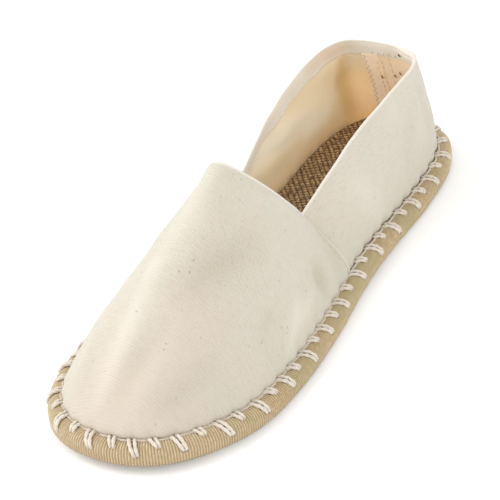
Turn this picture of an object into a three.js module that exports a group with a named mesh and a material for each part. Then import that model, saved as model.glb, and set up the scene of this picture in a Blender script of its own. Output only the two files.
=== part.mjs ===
// A canvas espadrille for the left foot. A soft canvas upper is sewn with yarn to the taped edge of a thin
// flat sole, and a woven jute insole lies inside. The toe points along +X, +Y is the wearer's left, which is
// the outer side of this foot, and the sole stands on Z = 0. Lengths are millimetres.
import * as THREE from "three";

// Sole
const SOLE_LENGTH = 265;
const BALL_WIDTH = 88;
const WAIST_WIDTH = 68;
const HEEL_WIDTH = 66;
const SOLE_THICKNESS = 8.5;
const TOE_SPRING = 3.5;
const ARCH_RISE = 1.2;
const LINE_STEPS = 3; // wall lines for each row of the tables below

// Tape that covers the sole's edge and turns in over its top
const TAPE_THICKNESS = 0.9;
const TAPE_FOOT = 1.3; // height of the tape's lower edge above the floor
const TAPE_TURN_IN = 11; // width of the flap on top of the sole
const LIP_INSET = 0.7; // from the outline in to the low lip that shows under the tape
const TREAD_INSET = 1.8; // and in to the flat tread
const LIP_ROUND = 0.45; // height of the lip's rounded lower edge

// Upper
const FEATHER_INSET = 6; // from the sole's outline in to the foot of the upper
const QUARTER_WALL = 1.3;
const VAMP_LAP = 0.9; // step where the vamp lies over the quarter
const LAP_BEVEL = 0.9;
const HEM_DEPTH = 9;
const HEM_PLY = 0.8; // step where the quarter's folded edge is doubled inside
const HEM_BEVEL = 0.8;
const RIM_ROUND = 0.5; // how far the edge's middle stands above its sides
const HEEL_HEIGHT = 49; // foot of the upper to the back of the collar
const INSTEP_HEIGHT = 64; // foot of the upper to the top of the throat
const CORNER_HEIGHT = 26.5; // foot of the upper to the throat's corners
const COLLAR_BACK = 26; // sole's heel to the back of the collar
const COLLAR_LENGTH = 110; // back of the collar to the throat's corners
const COLLAR_WIDTH = 44.5; // across the heel part of the collar
const THROAT_WIDTH = 31; // across the throat's corners
const THROAT_REACH = 31; // throat's corners forward to its top
const FEATHER_RISE = 22; // height over which the foot of the wall stands up before it leans in

// Insole
const INSOLE_THICKNESS = 2.4;
const INSOLE_ROUND = 0.7;

const CLEARANCE = 0.3; // between pieces that meet on a curve
const WALL_ROWS = 9; // faces up the outside of the upper, and up its inside below the hem

// One row for each section from the heel to the toe. `at` is a share of the sole's length, and `outer` and
// `inner` are half-widths as shares of the width named in `of`. `standUp` and `leanIn` place the wall's knee,
// as shares of FEATHER_RISE. In the quarter, `back` is a share of COLLAR_LENGTH, `half` of half COLLAR_WIDTH,
// and `drop` of the fall from the heel's height to the corner's. In the vamp, `up` is a share of the throat's
// rise and `half` of half THROAT_WIDTH.
const QUARTER_SECTIONS = [
  { at: 0.0, of: HEEL_WIDTH, outer: 0.0, inner: 0.0,
    standUp: 0.9, leanIn: 0.2, back: 0.0, half: 0.0, drop: 0.0 },
  { at: 0.0065, of: HEEL_WIDTH, outer: 0.17, inner: 0.17,
    standUp: 0.9, leanIn: 0.17, back: 0.006, half: 0.42, drop: 0.0 },
  { at: 0.034, of: HEEL_WIDTH, outer: 0.345, inner: 0.345,
    standUp: 0.9, leanIn: 0.12, back: 0.045, half: 0.8, drop: -0.01 },
  { at: 0.105, of: HEEL_WIDTH, outer: 0.475, inner: 0.465,
    standUp: 0.9, leanIn: 0.08, back: 0.17, half: 1.0, drop: -0.04 },
  { at: 0.21, of: HEEL_WIDTH, outer: 0.53, inner: 0.49,
    standUp: 0.9, leanIn: 0.08, back: 0.37, half: 0.99, drop: 0.04 },
  { at: 0.345, of: WAIST_WIDTH, outer: 0.53, inner: 0.445,
    standUp: 0.8, leanIn: 0.1, back: 0.65, half: 0.88, drop: 0.32 },
];
const SEAM_SECTION = {
  at: 0.485, of: WAIST_WIDTH, outer: 0.565, inner: 0.48,
  standUp: 0.6, leanIn: 0.2, up: 0.0, half: 1.0,
};
const VAMP_SECTIONS = [
  { at: 0.62, of: BALL_WIDTH, outer: 0.489, inner: 0.43,
    standUp: 0.75, leanIn: 0.24, up: 0.2, half: 0.98 },
  { at: 0.735, of: BALL_WIDTH, outer: 0.51, inner: 0.482,
    standUp: 0.8, leanIn: 0.26, up: 0.42, half: 0.9 },
  { at: 0.835, of: BALL_WIDTH, outer: 0.485, inner: 0.48,
    standUp: 0.76, leanIn: 0.27, up: 0.64, half: 0.73 },
  { at: 0.915, of: BALL_WIDTH, outer: 0.385, inner: 0.412,
    standUp: 0.7, leanIn: 0.26, up: 0.83, half: 0.48 },
  { at: 0.967, of: BALL_WIDTH, outer: 0.262, inner: 0.298,
    standUp: 0.65, leanIn: 0.24, up: 0.945, half: 0.24 },
  { at: 0.993, of: BALL_WIDTH, outer: 0.125, inner: 0.165,
    standUp: 0.62, leanIn: 0.22, up: 0.99, half: 0.09 },
];
const TOE_SECTION = {
  at: 1.0, of: BALL_WIDTH, outer: -0.022, inner: 0.022,
  standUp: 0.62, leanIn: 0.22, up: 1.0, half: 0.0,
};

// The round of the tape's outside above its foot: `in` and `up` are shares of the sole's thickness.
const EDGE_PROFILE = [
  { in: 0.0, up: 0.36 },
  { in: 0.0, up: 0.6 },
  { in: 0.1, up: 0.83 },
  { in: 0.3, up: 0.97 },
  { in: 0.5, up: 1.0 },
];

const KNEE_PULL = 0.9; // how far the wall is drawn to its knee from below
const CROWN_PULL = 0.42; // and from above

// How high the whole shoe is bent up from the floor at x: a slight arch, and the toe's spring.
const ARCH_FROM = 0.27;
const ARCH_TO = 0.56;
const SPRING_FROM = 0.74;
function lift(x) {
  const share = x / SOLE_LENGTH;
  const arch = THREE.MathUtils.clamp((share - ARCH_FROM) / (ARCH_TO - ARCH_FROM), 0, 1);
  const spring = Math.max(0, (share - SPRING_FROM) / (1 - SPRING_FROM));
  return ARCH_RISE * Math.sin(Math.PI * arch) ** 2 + TOE_SPRING * spring ** 2;
}

// Every section in order round the shoe: heel, outer side, toe, inner side. side is +1 outside and -1 inside.
const sections = [
  ...QUARTER_SECTIONS.map((row) => ({ ...row, side: 1 })),
  { ...SEAM_SECTION, side: 1 },
  ...VAMP_SECTIONS.map((row) => ({ ...row, side: 1 })),
  { ...TOE_SECTION, side: 1 },
  ...[...VAMP_SECTIONS].reverse().map((row) => ({ ...row, side: -1 })),
  { ...SEAM_SECTION, side: -1 },
  ...QUARTER_SECTIONS.slice(1).reverse().map((row) => ({ ...row, side: -1 })),
];
const OUTER_SEAM = QUARTER_SECTIONS.length;
const INNER_SEAM = OUTER_SEAM + 2 * VAMP_SECTIONS.length + 2;

const roundShare = (s) => (s / sections.length + 1) % 1;

const outlineCurve = new THREE.CatmullRomCurve3(
  sections.map((row) => {
    const half = row.side > 0 ? row.outer : -row.inner;
    return new THREE.Vector3(row.at * SOLE_LENGTH, half * row.of, 0);
  }),
  true,
);

// A point of the sole's outline, moved in by `inset`. s counts sections, so 2.5 lies midway between 2 and 3.
function outlinePoint(s, inset) {
  const point = outlineCurve.getPoint(roundShare(s));
  const along = outlineCurve.getTangent(roundShare(s));
  point.x += along.y * inset;
  point.y -= along.x * inset;
  return point;
}

// The collar's edge, in two curves: round the heel from one throat corner to the other, and over the instep.
const FOOT_OF_UPPER = SOLE_THICKNESS + CLEARANCE;
function quarterEdgePoint(row) {
  const height = HEEL_HEIGHT - row.drop * (HEEL_HEIGHT - CORNER_HEIGHT);
  const x = COLLAR_BACK + row.back * COLLAR_LENGTH;
  return new THREE.Vector3(x, (row.side * row.half * COLLAR_WIDTH) / 2, FOOT_OF_UPPER + height);
}
function throatPoint(row) {
  const height = CORNER_HEIGHT + row.up * (INSTEP_HEIGHT - CORNER_HEIGHT);
  const x = COLLAR_BACK + COLLAR_LENGTH + row.up * THROAT_REACH;
  return new THREE.Vector3(x, (row.side * row.half * THROAT_WIDTH) / 2, FOOT_OF_UPPER + height);
}
const throatCurve = new THREE.CatmullRomCurve3(sections.slice(OUTER_SEAM, INNER_SEAM + 1).map(throatPoint));
const quarterCurve = new THREE.CatmullRomCurve3([
  throatPoint(sections[INNER_SEAM]),
  ...sections.slice(INNER_SEAM + 1).map(quarterEdgePoint),
  ...sections.slice(0, OUTER_SEAM).map(quarterEdgePoint),
  throatPoint(sections[OUTER_SEAM]),
]);
function collarPoint(s) {
  if (s >= OUTER_SEAM && s <= INNER_SEAM) {
    return throatCurve.getPoint((s - OUTER_SEAM) / (INNER_SEAM - OUTER_SEAM));
  }
  const sinceSeam = s > INNER_SEAM ? s - INNER_SEAM : s + sections.length - INNER_SEAM;
  return quarterCurve.getPoint(sinceSeam / (sections.length - INNER_SEAM + OUTER_SEAM));
}

// standUp and leanIn, read between the sections.
const kneeCurve = new THREE.CatmullRomCurve3(
  sections.map((row) => new THREE.Vector3(row.leanIn, 0, row.standUp)),
  true,
);

// The outside of the bare wall on line s, from its foot on the sole up to the collar.
const CURVE_STEPS = 24;
function wallCurve(s) {
  const foot = outlinePoint(s, FEATHER_INSET);
  foot.z = FOOT_OF_UPPER + lift(foot.x);
  const { x: leanIn, z: standUp } = kneeCurve.getPoint(roundShare(s));
  const knee = outlinePoint(s, FEATHER_INSET + leanIn * FEATHER_RISE);
  knee.z = foot.z + standUp * FEATHER_RISE;
  const edge = collarPoint(s);
  const low = foot.clone().lerp(knee, KNEE_PULL);
  const high = edge.clone().lerp(knee, CROWN_PULL);
  const curve = new THREE.CubicBezierCurve3(foot, low, high, edge);
  curve.arcLengthDivisions = CURVE_STEPS;
  return curve;
}

// The bare wall at a share v of its height, with the directions out of it and up it. Its foot stays level.
const S_NUDGE = 0.02;
const V_NUDGE = 0.004;
function wallFrame(s, v) {
  const isVamp = s >= OUTER_SEAM && s <= INNER_SEAM;
  const before = isVamp ? Math.max(s - S_NUDGE, OUTER_SEAM) : s - S_NUDGE;
  const after = isVamp ? Math.min(s + S_NUDGE, INNER_SEAM) : s + S_NUDGE;
  const along = wallCurve(after).getPointAt(v).sub(wallCurve(before).getPointAt(v));
  const curve = wallCurve(s);
  const above = curve.getPointAt(Math.min(v + V_NUDGE, 1));
  const up = above.sub(curve.getPointAt(Math.max(v - V_NUDGE, 0))).normalize();
  const out = up.clone().cross(along).normalize();
  if (v === 0) out.setZ(0).normalize();
  return { point: curve.getPointAt(v), out, up };
}

// A skin over rings of points, with the faces given as three point numbers each.
function skin(rings, faces) {
  const position = rings.flat().flatMap((point) => point.toArray());
  const geometry = new THREE.BufferGeometry();
  geometry.setAttribute("position", new THREE.Float32BufferAttribute(position, 3));
  geometry.setIndex(faces);
  geometry.computeVertexNormals();
  return geometry;
}

// Faces between ring j and ring k, which have `count` points each.
function band(count, j, k) {
  const faces = [];
  for (let i = 0; i < count; i++) {
    const i2 = (i + 1) % count;
    const [a, b, c, d] = [j * count + i, j * count + i2, k * count + i2, k * count + i];
    faces.push(a, c, b, a, d, c);
  }
  return faces;
}

// Faces that fill ring j with rungs from one side of the shoe to the other. The ring starts at the heel.
function rungs(count, j, facesUp) {
  const faces = [];
  const half = count / 2;
  const at = (i) => j * count + ((i + count) % count);
  for (let i = 0; i < half; i++) {
    const quad = [at(i), at(i + 1), at(-i - 1), at(-i)];
    const [a, b, c, d] = facesUp ? quad.reverse() : quad;
    if (i > 0) faces.push(...(facesUp ? [a, b, d] : [a, c, d]));
    if (i < half - 1) faces.push(...(facesUp ? [b, c, d] : [a, b, c]));
  }
  return faces;
}

// A ring of wall, whose section closes on itself: the last ring of points meets the first.
function closedRing(rings) {
  const count = rings[0].length;
  return skin(rings, rings.flatMap((_, j) => band(count, j, (j + 1) % rings.length)));
}

// A slab, filled at its first ring below and at its last ring above.
function slab(rings) {
  const count = rings[0].length;
  const last = rings.length - 1;
  const sides = rings.slice(1).flatMap((_, j) => band(count, j, j + 1));
  return skin(rings, [...rungs(count, 0, false), ...sides, ...rungs(count, last, true)]);
}

const lines = [];
for (let i = 0; i < sections.length * LINE_STEPS; i++) lines.push(i / LINE_STEPS);

// A level ring that runs `inset` inside the outline and `height` above the floor, bent with the shoe.
function soleRing({ inset, height }) {
  return lines.map((s) => {
    const point = outlinePoint(s, inset);
    point.z = height + lift(point.x);
    return point;
  });
}

// The tape's section, from its foot up the edge and in over the sole, and the same line `depth` under it.
const tapeOutside = [
  { inset: EDGE_PROFILE[0].in * SOLE_THICKNESS, height: TAPE_FOOT },
  ...EDGE_PROFILE.map((row) => ({ inset: row.in * SOLE_THICKNESS, height: row.up * SOLE_THICKNESS })),
  { inset: TAPE_TURN_IN, height: SOLE_THICKNESS },
];
function underTape(depth) {
  return tapeOutside.map((row, i) => {
    const below = tapeOutside[Math.max(i - 1, 0)];
    const above = tapeOutside[Math.min(i + 1, tapeOutside.length - 1)];
    const run = new THREE.Vector2(above.inset - below.inset, above.height - below.height).normalize();
    return { inset: row.inset + run.y * depth, height: row.height - run.x * depth };
  });
}

function makeTape() {
  return closedRing([...tapeOutside, ...underTape(TAPE_THICKNESS).reverse()].map(soleRing));
}

// The sole follows the tape's inside. It has a lip under the tape's foot, and stands up inside its flap.
function makeSole() {
  const core = underTape(TAPE_THICKNESS + CLEARANCE);
  const lipTop = TAPE_FOOT - CLEARANCE;
  const flap = core.at(-1);
  const inFlap = TAPE_TURN_IN + CLEARANCE;
  return slab(
    [
      { inset: TREAD_INSET, height: 0 },
      { inset: LIP_INSET, height: LIP_ROUND },
      { inset: LIP_INSET, height: lipTop },
      { inset: core[0].inset, height: lipTop },
      ...core.slice(1, -1),
      { inset: inFlap, height: flap.height },
      { inset: inFlap, height: SOLE_THICKNESS },
    ].map(soleRing),
  );
}

// The upper's outside steps out where the vamp lies over the quarter, and the quarter's inside steps in at
// its hem.
function makeUpper() {
  const seamSpacing = (SEAM_SECTION.at - QUARTER_SECTIONS.at(-1).at) * SOLE_LENGTH;
  const bevel = LAP_BEVEL / seamSpacing;
  const wallLines = [...lines, OUTER_SEAM - bevel, INNER_SEAM + bevel].sort((a, b) => a - b);
  const isVamp = (s) => s >= OUTER_SEAM && s <= INNER_SEAM;
  const lap = (s) => (isVamp(s) ? VAMP_LAP : 0);
  const hemWall = (s) => (isVamp(s) ? QUARTER_WALL : QUARTER_WALL + HEM_PLY);
  const ring = (place) => wallLines.map(place);
  const wallRing = (share, depth) =>
    ring((s) => {
      const { point, out } = wallFrame(s, share(s));
      return point.addScaledVector(out, depth(s));
    });
  const hemLine = (s) => 1 - HEM_DEPTH / wallCurve(s).getLength();
  const underHem = (s) => 1 - (HEM_DEPTH + HEM_BEVEL) / wallCurve(s).getLength();
  const besideInsole = (s) => INSOLE_THICKNESS / wallCurve(s).getLength();

  const rings = [];
  for (let k = 0; k <= WALL_ROWS; k++) rings.push(wallRing(() => k / WALL_ROWS, lap));
  rings.push(
    ring((s) => {
      const { point, out, up } = wallFrame(s, 1);
      return point.addScaledVector(out, (lap(s) - hemWall(s)) / 2).addScaledVector(up, RIM_ROUND);
    }),
  );
  rings.push(wallRing(() => 1, (s) => -hemWall(s)));
  rings.push(wallRing(hemLine, (s) => -hemWall(s)));
  for (let k = WALL_ROWS; k > 0; k--) {
    const share = (s) => THREE.MathUtils.lerp(besideInsole(s), underHem(s), (k - 1) / (WALL_ROWS - 1));
    rings.push(wallRing(share, () => -QUARTER_WALL));
  }
  rings.push(wallRing(() => 0, () => -QUARTER_WALL));
  return closedRing(rings);
}

// The insole fits inside the wall at each height.
function makeInsole() {
  const ring = ({ rise, inset }) =>
    lines.map((s) => {
      const curve = wallCurve(s);
      const { point, out } = wallFrame(s, Math.max(rise / curve.getLength(), V_NUDGE));
      const level = out.setZ(0).length();
      point.addScaledVector(out.normalize(), -(QUARTER_WALL + CLEARANCE) / level - inset);
      point.z = FOOT_OF_UPPER + lift(point.x) + rise;
      return point;
    });
  return slab(
    [
      { rise: 0, inset: INSOLE_ROUND / 2 },
      { rise: INSOLE_ROUND, inset: 0 },
      { rise: INSOLE_THICKNESS - INSOLE_ROUND, inset: 0 },
      { rise: INSOLE_THICKNESS, inset: INSOLE_ROUND },
    ].map(ring),
  );
}

const canvas = new THREE.MeshStandardMaterial({ color: 0xd9cfb6, roughness: 0.92, metalness: 0 });
const tape = new THREE.MeshStandardMaterial({ color: 0x8f7f52, roughness: 0.95, metalness: 0 });
const rubber = new THREE.MeshStandardMaterial({ color: 0x6e6143, roughness: 0.8, metalness: 0 });
const jute = new THREE.MeshStandardMaterial({ color: 0x7a5f38, roughness: 0.95, metalness: 0 });

const group = new THREE.Group();
function add(name, geometry, material) {
  const mesh = new THREE.Mesh(geometry, material);
  mesh.name = name;
  group.add(mesh);
}
add("sole", makeSole(), rubber);
add("edge_tape", makeTape(), tape);
add("upper", makeUpper(), canvas);
add("insole", makeInsole(), jute);

// The origin is at the floor, under the middle of the shoe's length and width.
const box = new THREE.Box3().setFromObject(group);
const middle = box.getCenter(new THREE.Vector3());
group.position.set(-middle.x, -middle.y, 0);
group.updateMatrixWorld(true);

export default group;
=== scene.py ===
# A canvas espadrille for the left foot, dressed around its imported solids. A canvas quarter and vamp are sewn
# with doubled yarn to the taped edge of a thin sole, over a cotton lining and a woven jute insole. Lengths
# are in millimetres until a mesh is made, with the heel at x = 0 and the toe along +x.
import math

import bpy
import numpy as np
from mathutils import Matrix, Vector


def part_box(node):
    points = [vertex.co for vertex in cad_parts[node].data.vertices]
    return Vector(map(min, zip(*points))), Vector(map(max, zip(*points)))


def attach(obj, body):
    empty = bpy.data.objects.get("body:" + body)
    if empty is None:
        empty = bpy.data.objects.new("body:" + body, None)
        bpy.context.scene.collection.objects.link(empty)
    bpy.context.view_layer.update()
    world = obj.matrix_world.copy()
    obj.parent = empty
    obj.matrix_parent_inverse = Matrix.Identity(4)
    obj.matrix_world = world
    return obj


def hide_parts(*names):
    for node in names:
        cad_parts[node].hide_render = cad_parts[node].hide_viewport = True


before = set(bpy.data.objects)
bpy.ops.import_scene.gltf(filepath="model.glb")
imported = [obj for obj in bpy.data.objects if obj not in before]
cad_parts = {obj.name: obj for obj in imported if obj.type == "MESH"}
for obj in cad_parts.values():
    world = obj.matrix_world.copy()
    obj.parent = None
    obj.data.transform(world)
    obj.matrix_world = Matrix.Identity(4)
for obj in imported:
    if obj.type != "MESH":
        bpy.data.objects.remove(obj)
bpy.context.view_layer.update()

# The studio: a white paper floor, an even white surround, a soft window on the toe's inner side, and a softer
# fill on its outer side. The camera looks back over the toe from the outer side, a little rolled.
MM = 0.001
CAMERA_PLACE = (504.4, 302.1, 396.0)
CAMERA_TARGET = (4.0, -10.0, 14.0)
CAMERA_ROLL = -5.0
CAMERA_LENS = 124
CAMERA_SENSOR = 36
CAMERA_REACH = 20
FLOOR_WIDTH = 8.0
PAPER_WHITE = (0.97, 0.97, 0.97, 1)
PAPER_ROUGHNESS = 0.9
PAPER_GLOW = 0.14
SURROUND_STRENGTH = 0.85
WINDOW_SIZE = 1.2
WINDOW_PLACE = (0.6, -1.1, 1.1)
WINDOW_WATTS = 15
FILL_SIZE = 1.1
FILL_PLACE = (0.3, 1.35, 0.95)
FILL_WATTS = 6

scene = bpy.context.scene
scene.view_settings.view_transform = "Standard"
camera = bpy.data.objects.new("camera", bpy.data.cameras.new("camera"))
scene.collection.objects.link(camera)
camera.location = Vector(CAMERA_PLACE) * MM
look = Vector(CAMERA_TARGET) * MM - camera.location
roll = Matrix.Rotation(math.radians(CAMERA_ROLL), 3, "Z")
camera.rotation_euler = (look.to_track_quat("-Z", "Y").to_matrix() @ roll).to_euler()
camera.data.lens = CAMERA_LENS
camera.data.sensor_width = CAMERA_SENSOR
camera.data.clip_end = CAMERA_REACH
scene.camera = camera

world = bpy.data.worlds.new("surround")
scene.world = world
world.use_nodes = True
surround = world.node_tree.nodes["Background"].inputs
surround["Color"].default_value = (1, 1, 1, 1)
surround["Strength"].default_value = SURROUND_STRENGTH


def soft_light(name, size, place, watts):
    """A square light that looks at the shoe."""
    light = bpy.data.objects.new(name, bpy.data.lights.new(name, "AREA"))
    light.data.size = size
    light.data.energy = watts
    light.location = place
    light.rotation_euler = (-Vector(place)).to_track_quat("-Z", "Y").to_euler()
    scene.collection.objects.link(light)


soft_light("window", WINDOW_SIZE, WINDOW_PLACE, WINDOW_WATTS)
soft_light("fill", FILL_SIZE, FILL_PLACE, FILL_WATTS)

floor_mesh = bpy.data.meshes.new("floor")
half = FLOOR_WIDTH / 2
corners = [(-half, -half, 0), (half, -half, 0), (half, half, 0), (-half, half, 0)]
floor_mesh.from_pydata(corners, [], [(0, 1, 2, 3)])
floor = bpy.data.objects.new("floor", floor_mesh)
scene.collection.objects.link(floor)
paper = bpy.data.materials.new("white_paper")
paper.use_nodes = True
paper_surface = paper.node_tree.nodes["Principled BSDF"].inputs
paper_surface["Base Color"].default_value = PAPER_WHITE
paper_surface["Roughness"].default_value = PAPER_ROUGHNESS
# paper that glows a little keeps the shadows as faint as on a bright light table
paper_surface["Emission Color"].default_value = PAPER_WHITE
paper_surface["Emission Strength"].default_value = PAPER_GLOW
floor_mesh.materials.append(paper)

# The sole is a flat slab of light natural rubber, cut to the foot's outline, with a slight arch and toe
# spring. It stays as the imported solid. Its tread has shallow cross ribs, scuffed where they touch the floor.
SOLE_LENGTH = 265
BALL_WIDTH = 88
WAIST_WIDTH = 68
HEEL_WIDTH = 66
SOLE_THICKNESS = 8.5
TOE_SPRING = 3.5
ARCH_RISE = 1.2
ARCH_FROM = 0.27
ARCH_TO = 0.56
SPRING_FROM = 0.74
# the gap between one solid and the next
CLEARANCE = 0.3
# each section of the outline: its share of the length from the heel, the width that it follows, and its half
# width on the outer and the inner side, as shares of that width
OUTLINE = [
    (0.0, HEEL_WIDTH, 0.0, 0.0),
    (0.0065, HEEL_WIDTH, 0.17, 0.17),
    (0.034, HEEL_WIDTH, 0.345, 0.345),
    (0.105, HEEL_WIDTH, 0.475, 0.465),
    (0.21, HEEL_WIDTH, 0.53, 0.49),
    (0.345, WAIST_WIDTH, 0.53, 0.445),
    (0.485, WAIST_WIDTH, 0.565, 0.48),
    (0.62, BALL_WIDTH, 0.489, 0.43),
    (0.735, BALL_WIDTH, 0.51, 0.482),
    (0.835, BALL_WIDTH, 0.485, 0.48),
    (0.915, BALL_WIDTH, 0.385, 0.412),
    (0.967, BALL_WIDTH, 0.262, 0.298),
    (0.993, BALL_WIDTH, 0.125, 0.165),
    (1.0, BALL_WIDTH, -0.022, 0.022),
]
# places round the shoe are counted in sections: from the heel along the outer side to the toe, and on round
HEEL = 0
TOE = len(OUTLINE) - 1
ROUND = 2 * TOE
# every section in that order, as (row of the tables, side)
sections = [(row, 1) for row in range(TOE + 1)] + [(row, -1) for row in range(TOE - 1, 0, -1)]


def spline(points, place, closed):
    """A smooth curve through points, read at places counted in points: 2.5 is midway between 2 and 3."""
    points = np.asarray(points, float)
    count = len(points)
    if closed:
        place = np.mod(place, count)
        first = np.minimum(np.floor(place).astype(int), count - 1)
        before, start, end, after = (points[(first + step) % count] for step in (-1, 0, 1, 2))
    else:
        first = np.clip(np.floor(place).astype(int), 0, count - 2)
        longer = np.vstack([2 * points[0] - points[1], points, 2 * points[-1] - points[-2]])
        before, start, end, after = (longer[first + step] for step in (0, 1, 2, 3))
    rest = (place - first)[..., None]

    def gap(a, b):
        return np.maximum(np.sum((b - a) ** 2, axis=-1, keepdims=True), 1e-16) ** 0.25

    near, middle, far = gap(before, start), gap(start, end), gap(end, after)
    leave = ((start - before) / near - (end - before) / (near + middle) + (end - start) / middle) * middle
    reach = ((end - start) / middle - (after - start) / (middle + far) + (after - end) / far) * middle
    return (
        start
        + leave * rest
        + (3 * (end - start) - 2 * leave - reach) * rest**2
        + (2 * (start - end) + leave + reach) * rest**3
    )


def lift(x):
    """How far the whole shoe is bent up from the floor at x."""
    share = x / SOLE_LENGTH
    arch = np.clip((share - ARCH_FROM) / (ARCH_TO - ARCH_FROM), 0, 1)
    spring = np.maximum(0, (share - SPRING_FROM) / (1 - SPRING_FROM))
    return ARCH_RISE * np.sin(math.pi * arch) ** 2 + TOE_SPRING * spring**2


outline_points = []
for row, side in sections:
    at, width, outer, inner = OUTLINE[row]
    outline_points.append((at * SOLE_LENGTH, (outer if side > 0 else -inner) * width))


def outline(s, inset):
    """Points of the sole's outline in plan, moved in by inset. s counts sections round the shoe."""
    s = np.asarray(s, float)
    point = spline(outline_points, s, True)
    along = spline(outline_points, s + 0.01, True) - spline(outline_points, s - 0.01, True)
    along /= np.linalg.norm(along, axis=-1, keepdims=True)
    inward = np.stack([along[..., 1], -along[..., 0]], axis=-1)
    return point + inward * np.asarray(inset, float)[..., None]


# the frame's zero lies under the middle of the solids, whose outline was drawn through this many points
OUTLINE_POINTS = 78
drawn = outline(np.arange(OUTLINE_POINTS) * ROUND / OUTLINE_POINTS, 0.0)
middle_y = (drawn[:, 1].max() + drawn[:, 1].min()) / 2
TO_FRAME = np.array([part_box("edge_tape")[0][0] / MM - drawn[:, 0].min(), -middle_y, 0])


def make_piece(name, points, faces, material):
    """Links a smooth mesh of points in millimetres, which rides on the shoe's one body."""
    mesh = bpy.data.meshes.new(name)
    places = (np.asarray(points) + TO_FRAME) * MM
    mesh.from_pydata(places.tolist(), [], [list(map(int, face)) for face in faces])
    mesh.polygons.foreach_set("use_smooth", [True] * len(mesh.polygons))
    mesh.materials.append(material)
    piece = bpy.data.objects.new(name, mesh)
    scene.collection.objects.link(piece)
    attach(piece, "root")
    return piece


class Shade:
    """A value inside a material, so that sums of values are written as plain sums."""

    def __init__(self, paint, socket):
        self.paint = paint
        self.socket = socket

    def math(self, operation, *others):
        """A new value, worked out from this one and any others."""
        values = {place + 1: other for place, other in enumerate(others)}
        return self.paint.add("Math", {"operation": operation}, {0: self, **values})

    def __add__(self, other):
        return self.math("ADD", other)

    def __rsub__(self, other):
        return self.paint.add("Math", {"operation": "SUBTRACT"}, {0: other, 1: self})

    def __mul__(self, other):
        return self.math("MULTIPLY", other)

    __radd__ = __add__
    __rmul__ = __mul__

    def between(self, low, high):
        """0 below low and 1 above high, with a soft step between them."""
        settings = {"interpolation_type": "SMOOTHSTEP"}
        return self.paint.add("MapRange", settings, {"Value": self, "From Min": low, "From Max": high})

    def wave(self, pitch):
        """A sine from 0 to 1 with that pitch."""
        return (self * (2 * math.pi / pitch)).math("SINE") * 0.5 + 0.5


class Paint:
    """A material in the making."""

    def __init__(self, name, roughness, sheen=0.0):
        self.material = bpy.data.materials.new(name)
        self.material.use_nodes = True
        self.tree = self.material.node_tree
        self.surface = self.tree.nodes["Principled BSDF"]
        self.surface.inputs["Roughness"].default_value = roughness
        self.surface.inputs["Specular IOR Level"].default_value = 0.25
        self.surface.inputs["Sheen Weight"].default_value = sheen
        self.surface.inputs["Sheen Roughness"].default_value = 0.6

    def add(self, kind, settings=None, sockets=None, output=0):
        """A new node of that kind. Its settings are set first, then its sockets get values or links."""
        node = self.tree.nodes.new("ShaderNode" + kind)
        for key, value in (settings or {}).items():
            setattr(node, key, value)
        for key, value in (sockets or {}).items():
            self.feed(node.inputs[key], value)
        return Shade(self, node.outputs[output])

    def feed(self, socket, value):
        """Links a value to a socket, or sets the socket to a fixed one."""
        if isinstance(value, Shade):
            self.tree.links.new(value.socket, socket)
        else:
            socket.default_value = value

    def mix(self, factor, first, second):
        """A colour between two, either of which may be fixed."""
        sockets = {0: factor, 6: first, 7: second}
        return self.add("Mix", {"data_type": "RGBA"}, sockets, 2)

    def noise(self, vector, scale, detail=2.0):
        """Soft random patches, from 0 to 1."""
        return self.add("TexNoise", None, {"Vector": vector, "Scale": scale, "Detail": detail})

    def stretch(self, vector, scale):
        """The same place, with each axis scaled on its own."""
        return self.add("VectorMath", {"operation": "MULTIPLY"}, {0: vector, 1: scale})

    def axis(self, vector, name):
        """One of a vector's three values."""
        return self.add("SeparateXYZ", None, {0: vector}, name)

    def place(self):
        """The place on the shoe, in millimetres."""
        return self.stretch(self.add("TexCoord", None, None, "Object"), (1 / MM, 1 / MM, 1 / MM))

    def stored(self, name):
        """Three values that the mesh stores for each of its points."""
        return self.add("Attribute", {"attribute_name": name}, None, "Vector")

    def near(self, place, start, end, wide):
        """1 on the line from start to end, falling to 0 at that width away from it."""
        span = Vector(end) - Vector(start)
        away = self.add("VectorMath", {"operation": "SUBTRACT"}, {0: place, 1: start})
        along = {0: away, 1: tuple(span / span.length_squared)}
        share = self.add("VectorMath", {"operation": "DOT_PRODUCT"}, along, "Value")
        share = share.math("MAXIMUM", 0).math("MINIMUM", 1)
        nearest = self.add("VectorMath", {"operation": "SCALE"}, {0: tuple(span), "Scale": share})
        distance = self.add("VectorMath", {"operation": "DISTANCE"}, {0: away, 1: nearest}, "Value")
        return 1 - distance.between(0, wide)

    def glow(self, colour, strength):
        """Lets daylight of that colour seem to come through."""
        self.feed(self.surface.inputs["Emission Color"], colour)
        self.surface.inputs["Emission Strength"].default_value = strength

    def finish(self, colour, height=None, depth=0.1):
        """Sets the colour, and a bump whose height of 1 stands for depth in millimetres."""
        self.feed(self.surface.inputs["Base Color"], colour)
        if height is not None:
            sockets = {"Height": height, "Strength": 1.0, "Distance": depth * MM}
            self.feed(self.surface.inputs["Normal"], self.add("Bump", None, sockets))
        return self.material


TREAD_PITCH = 4.0
# colours are red, green and blue as shares of light, and an opacity
RUBBER = (0.36, 0.29, 0.19, 1)
RUBBER_WORN = (0.45, 0.38, 0.27, 1)
paint = Paint("natural_rubber", 0.75)
place = paint.place()
grain = paint.noise(place, 1.4, 4.0)
rib = paint.axis(place, "X").wave(TREAD_PITCH).between(0.25, 0.5)
wear = paint.noise(place, 0.05, 3.0).between(0.4, 0.65)
colour = paint.mix(wear * 0.6 + grain * 0.3, RUBBER, RUBBER_WORN)
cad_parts["sole"].material_slots[0].material = paint.finish(colour, rib + grain * 0.3, 0.35)

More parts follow.
